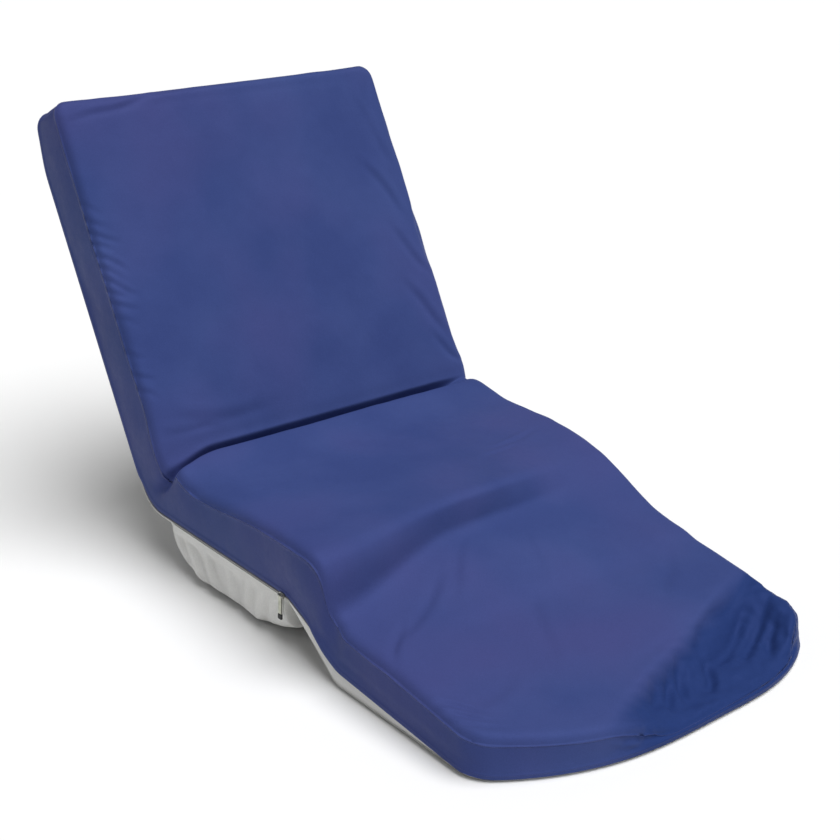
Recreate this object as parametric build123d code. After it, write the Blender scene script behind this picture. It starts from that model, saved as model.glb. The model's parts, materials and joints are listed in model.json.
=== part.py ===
"""Pressure relief mattress for a profiling hospital bed, standing in its raised position.

A foam core lies in a blue stretch top cover and a grey base cover, which a zip joins all round. The
core bends at three folds: behind the seat (back fold), at the knee crest (knee fold) and at the shin
(shin fold). Each fold turns about a line across the mattress at its underside, where the bed deck
hinges, so every layer is made in four sections: back, seat, knee and leg.

Millimetres, +Z up, +X towards the foot, Y across. The origin is under the middle of the whole
object, on the surface that it stands on.
"""
from build123d import *
from math import atan2, cos, degrees, radians, sin, tan
import os

# ---- Driving dimensions ----
WIDTH = 880.0            # across, over the covers
THICK = 145.0            # underside to sleeping surface
TOE_THICK = 80.0         # thickness at the middle of the foot end
BACK_LENGTH = 910.0      # section lengths, measured along the underside at the sides
SEAT_LENGTH = 530.0
KNEE_LENGTH = 200.0
LEG_LENGTH = 400.0
FOOT_BOW = 130.0         # how far the middle of the foot end stands past its corners
HEAD_CORNER = 45.0       # corner radii seen from above
FOOT_CORNER = 70.0
TOP_ROUND = 30.0         # rounding of the upper and lower long edges
BASE_ROUND = 10.0

BACK_ANGLE = 60.0        # the raised position: back above the seat
KNEE_ANGLE = 36.0        # and knee section below it
BACK_SPARE = 5.0         # how much further the back can go
FOLD_GAP = 2.5           # from a section's end to the fold line, at the underside

FABRIC = 1.5             # cover cloth
SLEEVE_DEPTH = 2.5       # fire sleeve, from the outside of the cover
SLEEVE = 1.5
FOAM_DEPTH = 6.0         # foam core, from the outside of the cover
BASE_FOAM_TOP = 62.0     # height of the joint between base foam and comfort foam
BOLSTER_WIDTH = 95.0
GLUE_LINE = 0.5

KERF = 4.0               # cuts that divide the comfort foam into cells
KERF_DEPTH = 45.0
CELL = 88.0

ZIP_HEIGHT = 14.0        # middle of the zip above the underside of the back and seat
ZIP_SHIN = 56.0          # it climbs to this height at the shin fold
ZIP_TOE = 12.0           # and is back down to this at the middle of the foot end
CHAIN_HALF = 1.7         # half the height of the zip's tooth chain
SLOT_HALF = 2.0          # half the gap between the two covers, where the chain runs
TAPE_UP = 9.0            # reach of the upper and lower zip tapes from the middle
TAPE_DOWN = 7.5
TAPE_DEPTH = FABRIC + 0.1
TAPE = 0.8
HEM_LOW = 4.5            # sewn hem round the blue skirt, from the middle of the zip
HEM_HIGH = 17.0
HEM = 1.6
HEM_OUT = 0.2

BELLY_START = 70.0       # grey belly under the seat, from the back fold
BELLY_BACK = 24.0        # how far its back has sloped in at half its depth
BELLY_FLAT_START = 190.0
BELLY_FLAT_END = 345.0
BELLY_END = 522.0
BELLY_END_DROP = 84.0    # depth of its front end
BELLY_ROUND = 34.0

SLIDER_X = 518.0         # zip slider, from the back fold
SLIDER_LENGTH = 16.0
SLIDER_HALF = 5.5        # half the height of its face plate
SLIDER_FACE = 4.7        # outer and inner faces of that plate, from the side of the cover
SLIDER_BACK = 2.1
SLIDER_CORNER = 2.5
FLANGE_OFF = 3.2         # its two flanges, above and below the teeth
FLANGE_HALF = 0.8
FLANGE_IN = 0.3
EAR_HALF = 1.2
EAR_HEIGHT = 1.7
TAB_LENGTH = 52.0
TAB_WIDTH = 9.0
TAB_THICK = 2.2
TAB_EYE = 2.0            # radius of the eye round the hinge pin
TAB_FIT = 0.05           # clearance of the tab in its moulded grip
GRIP_EXTRA = 3.0         # how much wider and thicker the grip is than the tab
GRIP_LENGTH = 12.0
GRIP_MIDDLE = 5.0        # its middle, from the free end of the tab
GRIP_ROUND = 1.8
EAR_OUT = 6.3            # the slider's two ears, from its middle
PIN_RADIUS = 0.95
PIN_CLEARANCE = 0.06
PIN_OUT = 8.2            # hinge pin of the pull tab, out from the side of the cover

# ---- Worked out from them ----
SEAT_HEIGHT = KNEE_LENGTH * sin(radians(KNEE_ANGLE))
FOOT_X = LEG_LENGTH + FOOT_BOW
KNEE_RUN = KNEE_LENGTH * cos(radians(KNEE_ANGLE))
HEAD_RUN = BACK_LENGTH * cos(radians(BACK_ANGLE))
REACH = HEAD_RUN + SEAT_LENGTH + KNEE_RUN + FOOT_X
BACK_X = HEAD_RUN - REACH / 2
KNEE_X = BACK_X + SEAT_LENGTH
SHIN_X = KNEE_X + KNEE_RUN
BACK_MITRE = tan(radians((BACK_ANGLE + BACK_SPARE) / 2))
SHIN_MITRE = tan(radians(KNEE_ANGLE / 2))
TOP_FALL = (THICK - TOE_THICK) / FOOT_X
PAST = 60.0              # how far tools run past what they cut
SIDE = WIDTH / 2
KNEE_ZIP_SLOPE = degrees(atan2(ZIP_SHIN - ZIP_HEIGHT, KNEE_LENGTH))
LEG_ZIP_SLOPE = degrees(atan2(ZIP_TOE - ZIP_SHIN, FOOT_X))

# Each section's own frame has its origin on a fold line at the underside, and X along the section.
PLACES = {
    "back": Location((BACK_X, 0, SEAT_HEIGHT), (0, BACK_ANGLE, 0)),
    "seat": Location((BACK_X, 0, SEAT_HEIGHT)),
    "knee": Location((KNEE_X, 0, SEAT_HEIGHT), (0, KNEE_ANGLE, 0)),
    "leg": Location((SHIN_X, 0, 0)),
}
# Height and slope of the zip line at the start of each section.
ZIP_LINES = {
    "back": Location((0, 0, ZIP_HEIGHT)),
    "seat": Location((0, 0, ZIP_HEIGHT)),
    "knee": Location((0, 0, ZIP_HEIGHT), (0, -KNEE_ZIP_SLOPE, 0)),
    "leg": Location((0, 0, ZIP_SHIN), (0, -LEG_ZIP_SLOPE, 0)),
}
SECTIONS = list(PLACES)


def upright(points):
    """A face in the XZ plane through these (x, z) points."""
    return Plane.XZ * make_face(Polyline(*points, close=True))


def block(x0, x1, y0, y1, z0, z1):
    return Pos((x0 + x1) / 2, (y0 + y1) / 2, (z0 + z1) / 2) * Box(x1 - x0, y1 - y0, z1 - z0)


def slab(z0, z1):
    """Everything between two heights, to cut a layer from a section."""
    return block(-2 * BACK_LENGTH, 2 * BACK_LENGTH, -WIDTH, WIDTH, z0, z1)


def zip_slab(section, low, high):
    """Everything between two heights measured from the middle of the zip."""
    return ZIP_LINES[section] * slab(low, high)


def outline(section, depth):
    """The section seen from above, inside the cover's outer face by depth, running past the folds."""
    half = SIDE - depth
    if section == "back":
        head = -BACK_LENGTH + depth
        corner = HEAD_CORNER - depth
        corners = [(head, -half), (PAST, -half), (PAST, half), (head, half)]
        face = make_face(Polyline(*corners, close=True))
        return fillet(face.vertices().filter_by(lambda v: v.X < head + 1), corner)
    if section == "leg":
        bow = (SIDE**2 + FOOT_BOW**2) / (2 * FOOT_BOW) - depth
        middle = FOOT_X - depth
        side_end = middle - bow + (bow**2 - half**2) ** 0.5
        edges = Polyline((side_end, half), (-PAST, half), (-PAST, -half), (side_end, -half))
        face = make_face(edges + ThreePointArc((side_end, -half), (middle, 0), (side_end, half)))
        return fillet(face.vertices().filter_by(lambda v: v.X > 0), FOOT_CORNER - depth)
    end = PAST + {"seat": SEAT_LENGTH, "knee": KNEE_LENGTH}[section]
    return make_face(Polyline((-PAST, -half), (end, -half), (end, half), (-PAST, half), close=True))


def profile(section, depth, gap):
    """The section seen from the side, depth inside the cover and gap from each fold.

    A minus gap runs past the fold."""
    low, high = depth, THICK - depth
    if section == "back":
        head = -BACK_LENGTH + depth
        lean = BACK_MITRE
        return upright([(head, low), (-gap - lean * low, low), (-gap - lean * high, high), (head, high)])
    if section == "seat":
        end = SEAT_LENGTH - gap
        lean = BACK_MITRE
        return upright([(gap + lean * low, low), (end, low), (end, high), (gap + lean * high, high)])
    if section == "knee":
        end = KNEE_LENGTH - gap
        lean = SHIN_MITRE
        return upright([(gap, low), (end - lean * low, low), (end - lean * high, high), (gap, high)])
    top = (THICK - depth - TOP_FALL * gap) / (1 + SHIN_MITRE * TOP_FALL)
    toe = TOE_THICK - depth
    start = gap + SHIN_MITRE * low
    return upright([(start, low), (FOOT_X, low), (FOOT_X, toe), (gap + SHIN_MITRE * top, top)])


def long_edges(body, section, depth, upper):
    """The upper or lower edges of a section that are rounded: all but those at its folds."""
    chosen = []
    for edge in body.edges():
        middle = edge @ 0.5
        height = THICK - depth
        if section == "leg":
            height -= TOP_FALL * middle.X
        level = abs(middle.Z - (height if upper else depth)) < 2.0
        across = abs(abs((edge % 0.5).Y) - 1) < 1e-6
        near_fold = abs(middle.X) < BACK_LENGTH / 2 and middle.X < LEG_LENGTH / 2
        fold = across and (section in ("seat", "knee") or near_fold)
        if level and not fold:
            chosen.append(edge)
    return chosen


def solid_section(section, depth, gap):
    """The whole section as one solid, depth inside the cover's outer face."""
    seen_from_side = extrude(profile(section, depth, gap), WIDTH, both=True)
    body = extrude(outline(section, depth), THICK) & seen_from_side
    body = body.solids()[0] if isinstance(body, (Compound, Part, ShapeList)) else body
    body = fillet(long_edges(body, section, depth, True), TOP_ROUND - depth)
    return fillet(long_edges(body, section, depth, False), max(BASE_ROUND - depth, 1.5))


def band(section, outer, inner, low, high):
    """A strip round the section's free sides, between two depths and two heights from the zip."""
    ring = solid_section(section, outer, FOLD_GAP) - solid_section(section, inner, -PAST / 2)
    return ring & zip_slab(section, low, high)


def belly(depth):
    """The swelling under the seat, depth inside its cloth and open to the seat above it."""
    drop = SEAT_HEIGHT - depth
    rise = -SEAT_HEIGHT / 2
    start = BELLY_START + depth
    end = BELLY_END - depth
    waist = start + BELLY_BACK
    back = Spline((start, 0), (waist, rise), (BELLY_FLAT_START, -drop), tangents=((0.1, -1), (1, 0)))
    flat = Line((BELLY_FLAT_START, -drop), (BELLY_FLAT_END, -drop))
    front = Spline((BELLY_FLAT_END, -drop), (end, -BELLY_END_DROP), tangents=((1, 0), (1, 0.35)))
    lid = Polyline((end, -BELLY_END_DROP), (end, 0), (start, 0))
    side_on = Plane.XZ * make_face(back + flat + front + lid)
    body = extrude(side_on, SIDE - depth, both=True)
    sides = [e for e in body.edges() if abs(abs((e @ 0.5).Y) - SIDE + depth) < 1]
    under = [e for e in sides if (e @ 0.5).Z < -BELLY_END_DROP / 2]
    return fillet(under, BELLY_ROUND - depth)


def top_cover(section):
    shell = solid_section(section, 0, FOLD_GAP) - solid_section(section, FABRIC, -PAST / 2)
    return shell & zip_slab(section, SLOT_HALF, 2 * THICK)


def base_cover(section):
    """The grey tray under the zip. Under the seat it opens into the belly."""
    shell = solid_section(section, 0, FOLD_GAP) - solid_section(section, FABRIC, -PAST / 2)
    tray = shell & zip_slab(section, -2 * THICK, -SLOT_HALF)
    if section == "seat":
        half = SIDE - FABRIC
        tray = tray - block(BELLY_START + FABRIC, BELLY_END - FABRIC, -half, half, -1, FABRIC + 0.1)
    return tray


def belly_cover():
    """The same grey cloth, slack below the seat."""
    return belly(0) - (belly(FABRIC) & slab(-SEAT_HEIGHT, 1))


def fire_sleeve(section):
    gap = FOLD_GAP + 1
    inside = solid_section(section, SLEEVE_DEPTH + SLEEVE, -PAST / 2)
    return solid_section(section, SLEEVE_DEPTH, gap) - inside


def foam_core(section):
    return solid_section(section, FOAM_DEPTH, FOLD_GAP + 1.5)


def base_foam(section):
    return foam_core(section) & slab(0, BASE_FOAM_TOP - GLUE_LINE / 2)


def side_bolsters(section):
    """Two firm strips that hold the edges up when somebody sits down or turns over."""
    inside = SIDE - FOAM_DEPTH - BOLSTER_WIDTH
    upper = foam_core(section) & slab(BASE_FOAM_TOP + GLUE_LINE / 2, THICK)
    return upper - block(-2 * BACK_LENGTH, 2 * BACK_LENGTH, -inside, inside, 0, THICK)


def comfort_foam(section):
    """The soft top layer, cut into cells that give way one by one."""
    half = SIDE - FOAM_DEPTH - BOLSTER_WIDTH - GLUE_LINE
    long = 2 * BACK_LENGTH
    low = THICK - KERF_DEPTH
    body = foam_core(section) & slab(BASE_FOAM_TOP + GLUE_LINE / 2, THICK)
    body = body & block(-long, long, -half, half, 0, THICK)
    box = body.bounding_box()
    cuts = []
    rows = int((box.max.X - box.min.X) / CELL)
    for i in range(1, rows):
        x = box.min.X + i * (box.max.X - box.min.X) / rows
        cuts.append(block(x - KERF / 2, x + KERF / 2, -WIDTH, WIDTH, low, THICK + PAST))
    columns = int(2 * half / CELL) if section != "leg" else 1
    for i in range(1, columns):
        y = -half + i * 2 * half / columns
        cuts.append(block(-long, long, y - KERF / 2, y + KERF / 2, low, THICK + PAST))
    return body - cuts if cuts else body


def seat_underpad():
    """Soft foam that fills the belly and carries the seat."""
    return belly(FABRIC + 1.0) & slab(-SEAT_HEIGHT, -GLUE_LINE)


def zip_chain(section):
    return band(section, -1.0, TAPE_DEPTH + TAPE, -CHAIN_HALF, CHAIN_HALF)


def zip_tapes(section):
    upper = band(section, TAPE_DEPTH, TAPE_DEPTH + TAPE, CHAIN_HALF, TAPE_UP)
    lower = band(section, TAPE_DEPTH, TAPE_DEPTH + TAPE, -TAPE_DOWN, -CHAIN_HALF)
    return Compound(upper.solids() + lower.solids())


def skirt_hem(section):
    return band(section, -HEM_OUT - HEM, -HEM_OUT, HEM_LOW, HEM_HIGH)


def zip_slider():
    """Face plate and two flanges that run on the chain, with a bail that holds the tab's hinge pin."""
    face = -SIDE - SLIDER_FACE
    back = -SIDE - SLIDER_BACK
    x0 = SLIDER_X - SLIDER_LENGTH / 2
    x1 = SLIDER_X + SLIDER_LENGTH / 2
    pin_y = -SIDE - PIN_OUT
    plate = block(x0, x1, face, back, ZIP_HEIGHT - SLIDER_HALF, ZIP_HEIGHT + SLIDER_HALF)
    pieces = [fillet(plate.edges().filter_by(Axis.Y), SLIDER_CORNER)]
    for side in (-1, 1):
        z = ZIP_HEIGHT + side * FLANGE_OFF
        x = SLIDER_X + side * EAR_OUT
        low, high = z - FLANGE_HALF, z + FLANGE_HALF
        pieces.append(block(x0 + SLIDER_CORNER, x1 - SLIDER_CORNER, back, -SIDE - FLANGE_IN, low, high))
        low, high = ZIP_HEIGHT - EAR_HEIGHT, ZIP_HEIGHT + EAR_HEIGHT
        pieces.append(block(x - EAR_HALF, x + EAR_HALF, pin_y - EAR_HEIGHT, face, low, high))
    pieces.append(Pos(SLIDER_X, pin_y, ZIP_HEIGHT) * Rot(0, 90, 0) * Cylinder(PIN_RADIUS, 2 * EAR_OUT))
    return Part() + pieces


def tab_blank(extra):
    """The flat of the pull tab, extra larger all round."""
    x, y, z = TAB_WIDTH / 2 + extra, TAB_THICK / 2 + extra, ZIP_HEIGHT - TAB_LENGTH - extra
    middle = -SIDE - PIN_OUT
    return block(SLIDER_X - x, SLIDER_X + x, middle - y, middle + y, z, ZIP_HEIGHT)


def pull_tab():
    """A flat tab that hangs from the slider's pin and swings out to be gripped."""
    flat = tab_blank(0)
    flat = fillet(flat.edges().filter_by(Axis.Y).sort_by(Axis.Z)[:2], TAB_WIDTH / 2 - 0.5)
    pin = Pos(SLIDER_X, -SIDE - PIN_OUT, ZIP_HEIGHT) * Rot(0, 90, 0)
    eye = pin * Cylinder(TAB_EYE, TAB_WIDTH)
    hole = pin * Cylinder(PIN_RADIUS + PIN_CLEARANCE, TAB_WIDTH + 2)
    return flat + eye - hole


def pull_bead():
    """The moulded grip on the end of the tab."""
    middle = Pos(SLIDER_X, -SIDE - PIN_OUT, ZIP_HEIGHT - TAB_LENGTH + GRIP_MIDDLE)
    grip = middle * Box(TAB_WIDTH + GRIP_EXTRA, TAB_THICK + GRIP_EXTRA, GRIP_LENGTH)
    return fillet(grip.edges(), GRIP_ROUND) - tab_blank(TAB_FIT)


def main():
    os.makedirs("parts", exist_ok=True)
    layers = {
        "top_cover": top_cover,
        "base_cover": base_cover,
        "fire_sleeve": fire_sleeve,
        "base_foam": base_foam,
        "comfort_foam": comfort_foam,
        "side_bolsters": side_bolsters,
        "zip_chain": zip_chain,
        "zip_tapes": zip_tapes,
        "skirt_hem": skirt_hem,
    }
    made = {}
    for section in SECTIONS:
        for layer, make in layers.items():
            made[f"{layer}_{section}"] = PLACES[section] * make(section)
    made["belly_cover"] = PLACES["seat"] * belly_cover()
    made["seat_underpad"] = PLACES["seat"] * seat_underpad()
    made["zip_slider"] = PLACES["seat"] * zip_slider()
    made["zip_pull_tab"] = PLACES["seat"] * pull_tab()
    made["zip_pull_bead"] = PLACES["seat"] * pull_bead()
    for name, shape in made.items():
        export_step(Compound(shape.solids()), f"parts/{name}.step")
    print("folds", round(BACK_X, 3), round(KNEE_X, 3), round(SHIN_X, 3), "seat", round(SEAT_HEIGHT, 3))
    box = Compound([s for shape in made.values() for s in shape.solids()]).bounding_box()
    print("box", box.min, box.max)


if __name__ == "__main__":
    main()
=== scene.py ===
import json
from math import cos, pi, radians, sin

import bpy
import numpy as np
from mathutils import Matrix, Vector, noise


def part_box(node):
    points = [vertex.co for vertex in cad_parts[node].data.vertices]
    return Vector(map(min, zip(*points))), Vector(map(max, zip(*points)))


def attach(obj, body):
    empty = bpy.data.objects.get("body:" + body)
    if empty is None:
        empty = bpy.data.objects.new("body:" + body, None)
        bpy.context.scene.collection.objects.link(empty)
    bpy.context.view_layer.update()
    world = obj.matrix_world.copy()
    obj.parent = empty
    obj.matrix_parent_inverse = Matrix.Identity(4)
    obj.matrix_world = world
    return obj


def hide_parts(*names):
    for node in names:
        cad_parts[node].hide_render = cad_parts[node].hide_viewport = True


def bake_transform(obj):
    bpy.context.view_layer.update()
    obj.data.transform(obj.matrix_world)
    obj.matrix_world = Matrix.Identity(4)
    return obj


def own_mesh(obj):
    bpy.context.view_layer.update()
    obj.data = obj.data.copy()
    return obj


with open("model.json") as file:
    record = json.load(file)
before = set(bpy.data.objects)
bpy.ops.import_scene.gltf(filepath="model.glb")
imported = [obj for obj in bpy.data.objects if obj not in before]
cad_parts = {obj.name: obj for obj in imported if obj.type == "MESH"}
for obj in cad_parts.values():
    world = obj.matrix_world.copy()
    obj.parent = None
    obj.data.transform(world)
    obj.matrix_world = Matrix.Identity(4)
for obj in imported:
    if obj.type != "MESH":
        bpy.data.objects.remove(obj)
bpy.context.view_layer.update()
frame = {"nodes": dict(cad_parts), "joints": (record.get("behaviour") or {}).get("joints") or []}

# A pressure relief mattress on the floor, raised at its back and knee. Metres, +Z up, +X to the foot.
# Cloth and foam are first laid out flat: s runs along the underside from the back fold towards the
# foot, y across and h up from the underside. bend() then carries (s, y, h) into the raised position.

# ---- Sizes, from the frame ----
JOINTS = {j["name"]: j for j in frame["joints"]}
BACK_X, _, SEAT_Z = JOINTS["back_fold"]["pos_m"]
KNEE_X = JOINTS["knee_fold"]["pos_m"][0]
SHIN_X = JOINTS["shin_fold"]["pos_m"][0]
BACK_ANGLE = -radians(JOINTS["back_fold"]["range_deg"][0])
KNEE_ANGLE = -radians(JOINTS["shin_fold"]["range_deg"][0])
SEAT_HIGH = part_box("top_cover_seat")[1]
HALF = SEAT_HIGH.y
THICK = SEAT_HIGH.z - SEAT_Z
ZIP_LOW, ZIP_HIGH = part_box("zip_chain_seat")
ZIP = (ZIP_LOW.z + ZIP_HIGH.z) / 2 - SEAT_Z
FOOT_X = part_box("top_cover_leg")[1].x

SEAT = KNEE_X - BACK_X
KNEE = (SHIN_X - KNEE_X) / cos(KNEE_ANGLE)
LEG = 0.400                        # length of the leg section at the sides
HEAD_S = -0.910                    # the head end, and the foot end at the sides
SHIN_S = SEAT + KNEE
FOOT_S = SHIN_S + LEG
BOW = FOOT_X - SHIN_X - LEG        # the middle of the foot end stands this much further out
TOE = 0.080                        # thickness at the foot end
SHIN_THICK = 0.147                 # and at the shin fold
ZIP_SHIN = 0.056                   # the zip's height at the shin fold, and at the foot end
ZIP_TOE = 0.012
CUT_SEAT = SEAT / 2                # where the cloth is divided into pieces that each hold one fold
CUT_KNEE = SEAT + 0.46 * KNEE
BEYOND = 9                         # past either end
CREASE_ROOM = 0.002                # the cloth lies this far inside the CAD's outside, as creases stand up


# ---- Small maths ----
def smooth(x):
    x = np.clip(x, 0.0, 1.0)
    return x * x * (3 - 2 * x)


def bell(x, width):
    """1 at x = 0, falling smoothly to 0 at x = +-width."""
    return smooth(1 - np.abs(x) / width)


def turn(s, fold, half_width):
    """0 before a fold, 1 after it."""
    return smooth((s - fold + half_width) / (2 * half_width))


def zip_line(s):
    """Height of the middle of the zip above the underside: it climbs over the knee section."""
    return np.interp(s, [SEAT, SHIN_S, FOOT_S + BOW], [ZIP, ZIP_SHIN, ZIP_TOE])


# ---- The raised position ----
BACK_BEND = 0.060                  # half the length over which the underside turns at each fold
KNEE_BEND = 0.014


def underside(s):
    """The angle of the underside at s, downwards towards the foot."""
    return (
        BACK_ANGLE * (1 - turn(s, 0, BACK_BEND))
        + KNEE_ANGLE * turn(s, SEAT, KNEE_BEND) * (1 - turn(s, SHIN_S, KNEE_BEND))
    )


# LINE_X and LINE_Z hold the place of the underside at each s in LINE.
STEP = 0.0005
LINE = np.arange(HEAD_S - 0.3, FOOT_S + BOW + 0.3, STEP)
SLOPE = underside(LINE)
LINE_X = np.concatenate([[0], np.cumsum(np.cos((SLOPE[1:] + SLOPE[:-1]) / 2)) * STEP])
LINE_Z = np.concatenate([[0], -np.cumsum(np.sin((SLOPE[1:] + SLOPE[:-1]) / 2)) * STEP])
LINE_X += (BACK_X + SEAT / 2) - np.interp(SEAT / 2, LINE, LINE_X)
LINE_Z += SEAT_Z - np.interp(SEAT / 2, LINE, LINE_Z)

# The surface over the knee, seen from the side at the left edge, in the middle and at the right edge:
# distance past the knee fold, and height. On the left the seat stands out over a steep drop to a
# trough; to the right the drop becomes one long slope.
# Each profile comes in three stretches, which meet at the crest and at the foot of the drop.
KNEE_LEFT = (
    [(-0.180, 0.262), (-0.100, 0.262), (-0.030, 0.267), (0.030, 0.272), (0.090, 0.270), (0.118, 0.256)],
    [(0.134, 0.230), (0.142, 0.196), (0.149, 0.162)],
    [(0.166, 0.147), (0.200, 0.139), (0.250, 0.134), (0.322, 0.128)],
)
KNEE_MIDDLE = (
    [(-0.180, 0.262), (-0.060, 0.264), (0.010, 0.267), (0.050, 0.268), (0.066, 0.260)],
    [(0.074, 0.236), (0.082, 0.206)],
    [(0.100, 0.196), (0.150, 0.184), (0.200, 0.171), (0.260, 0.154), (0.322, 0.137)],
)
KNEE_RIGHT = (
    [(-0.180, 0.262), (-0.100, 0.257), (-0.040, 0.248), (0.020, 0.233)],
    [(0.080, 0.207)],
    [(0.140, 0.178), (0.190, 0.156), (0.240, 0.146), (0.322, 0.136)],
)
KNEE_FROM = SEAT - 0.180           # the stretch of the underside that the profiles stand over
KNEE_TO = SHIN_S + 0.160
CREST_SHARE = 0.46                 # where the stretches meet, as shares of that length
FOOT_SHARE = 0.60
PLACES = 600                       # steps along a profile


def knee_profile(stretches, smoothing=0.016):
    """Evenly spaced places along a profile, rounded off a little."""
    points = np.array(sum(stretches, []))
    along = np.concatenate([[0], np.cumsum(np.hypot(*np.diff(points, axis=0).T))])
    crest = along[len(stretches[0]) - 1]
    foot = along[len(stretches[0]) + len(stretches[1]) - 1]
    shares = [0, CREST_SHARE, FOOT_SHARE, 1]
    at = np.interp(np.linspace(0, 1, PLACES + 1), shares, [0, crest, foot, along[-1]])
    x, z = np.interp(at, along, points[:, 0]), np.interp(at, along, points[:, 1])
    reach = int(smoothing / along[-1] * PLACES)
    weights = np.exp(-np.linspace(-2, 2, 2 * reach + 1) ** 2 / 2)
    weights /= weights.sum()
    rounded = []
    for q in (x, z):
        ends = np.concatenate([2 * q[0] - q[reach:0:-1], q, 2 * q[-1] - q[-2:-reach - 2:-1]])
        rounded.append(np.convolve(ends, weights, "valid"))
    return rounded


PROFILES = [knee_profile(KNEE_LEFT, 0.014), knee_profile(KNEE_MIDDLE, 0.009), knee_profile(KNEE_RIGHT)]


def knee_surface(s, y):
    """Offset of the sleeping surface from the underside, over the knee: how far on, and how high."""
    along = np.clip((s - KNEE_FROM) / (KNEE_TO - KNEE_FROM), 0, 1) * PLACES
    left = 1 - smooth((y + 0.46) / 0.42)
    right = smooth((y - 0.03) / 0.38)
    shares = (left, 1 - left - right, right)
    x = sum(w * np.interp(along, range(PLACES + 1), p[0]) for w, p in zip(shares, PROFILES))
    z = sum(w * np.interp(along, range(PLACES + 1), p[1]) for w, p in zip(shares, PROFILES))
    return KNEE_X + x - np.interp(s, LINE, LINE_X), z - np.interp(s, LINE, LINE_Z)


LOOSE_FROM = (1.062, 0.30)         # a point s, y on the diagonal where the foam ends, and its slope
LOOSE_SLOPE = 0.33
LOOSE_DROPS = ((0.034, 0.020), (0.014, 0.09))   # how far the cloth falls past it, over which length
BACK_SWELL = 0.013                 # the foam swells above the back crease, which is CREASE deep
CREASE = 0.044
CREASE_WIDTH = 0.052
SEAT_SLUMP = 0.016                 # the seat's left edge is sat down a little beside the crease
RIM_LEAST = 0.027                  # the top of the cover is never nearer than this to the zip


def loose_corner(s, y):
    """How far a point lies past the diagonal where the foam ends at the loose foot corner."""
    return np.clip(s - LOOSE_FROM[0] - LOOSE_SLOPE * (LOOSE_FROM[1] - y), 0, 1)


def lean_and_height(s, y):
    """The lean of the line from the underside to the sleeping surface, and its length, at rest."""
    fall = np.clip((s - SHIN_S) / (FOOT_S + BOW - SHIN_S), 0, 1)
    leg = SHIN_THICK - (SHIN_THICK - TOE) * fall ** 1.15
    flat = np.where(s < KNEE_TO, THICK - CREASE_ROOM, leg)
    x, z = knee_surface(s, y)
    over = smooth((s - KNEE_FROM) / 0.06) * smooth((KNEE_TO - s) / 0.06)
    to_leg = smooth((s - KNEE_TO + 0.06) / 0.06)
    flat = np.where(s > SHIN_S, leg * to_leg + z * (1 - to_leg), flat)
    lean = over * np.arctan2(x, z)
    t = over * np.hypot(x, z) + (1 - over) * flat
    t = t + BACK_SWELL * bell(s - 0.07, 0.17) - 0.005 * bell(s, 0.12)
    ends = 0.08 + 0.92 * smooth((HALF - y) / 0.14) * (0.5 + 0.5 * smooth((HALF + y) / 0.10))
    t = t - CREASE * bell(s, CREASE_WIDTH) * ends
    t = t - SEAT_SLUMP * bell(s - 0.22, 0.20) * smooth((-y - HALF + 0.075) / 0.075)
    past = loose_corner(s, y)
    sunk = smooth((y + 0.22) / 0.22) * (1 - smooth((y - 0.31) / 0.11))
    t = t - sum(deep * smooth(past / length) for deep, length in LOOSE_DROPS) * sunk
    return lean, np.maximum(t, zip_line(s) + RIM_LEAST)


def pinch(s, y, h):
    """How far the sides stand in (minus) or out at a point: they tuck in beside the creases."""
    high = smooth((h - 0.03) / 0.09)
    left = smooth(-y / 0.2)
    tuck = -(0.006 + 0.014 * left) * bell(s, 0.045) - 0.010 * left * bell(s - SEAT - 0.165, 0.05)
    puff = 0.006 * bell(s + 0.11, 0.10) + 0.006 * bell(s - 0.12, 0.13)
    return (tuck + puff + 0.010 * left * bell(s - SEAT - 0.02, 0.13)) * high


LEFT_CURL = 0.050                  # the back crease lies this much further on at the left edge
LEAN_BEND = 0.165                  # half the length over which the lines through the foam turn
LONGEST = 1.2                      # the largest factor that they grow by as they do
HEAD_TUCK = 0.030                  # how far the underside is drawn up at the head corners


def bend(s, y, h):
    """Carries flat points into the raised position."""
    x0 = np.interp(s, LINE, LINE_X)
    z0 = np.interp(s, LINE, LINE_Z)
    curl = LEFT_CURL * smooth((-y - 0.31) / 0.15) * smooth(h / 0.1)
    lean = BACK_ANGLE * (1 - turn(s - curl, 0, LEAN_BEND))
    longer = 1 / np.cos(lean - np.where(s < curl, BACK_ANGLE, 0.0))
    tilt, t = lean_and_height(s, y)
    lean = lean + tilt
    corner = smooth((HEAD_S + 0.14 - s) / 0.14) * smooth((np.abs(y) - HALF + 0.15) / 0.15)
    h = h + HEAD_TUCK * corner * np.clip(1 - h / t, 0, 1)
    reach = h * np.minimum(longer, LONGEST)
    return np.stack([x0 + reach * np.sin(lean), y, z0 + reach * np.cos(lean)], axis=-1)


# ---- Flat layout ----
HEAD_CORNER = 0.034                # corner radii seen from above
FOOT_CORNER = 0.034
CELL = 0.011                       # size of the grid
BOW_EXTRA = 0.008                  # how much further out than the foam the foot end of the cloth is
LOOSE_OUT = 0.046                  # and its loose corner


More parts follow.
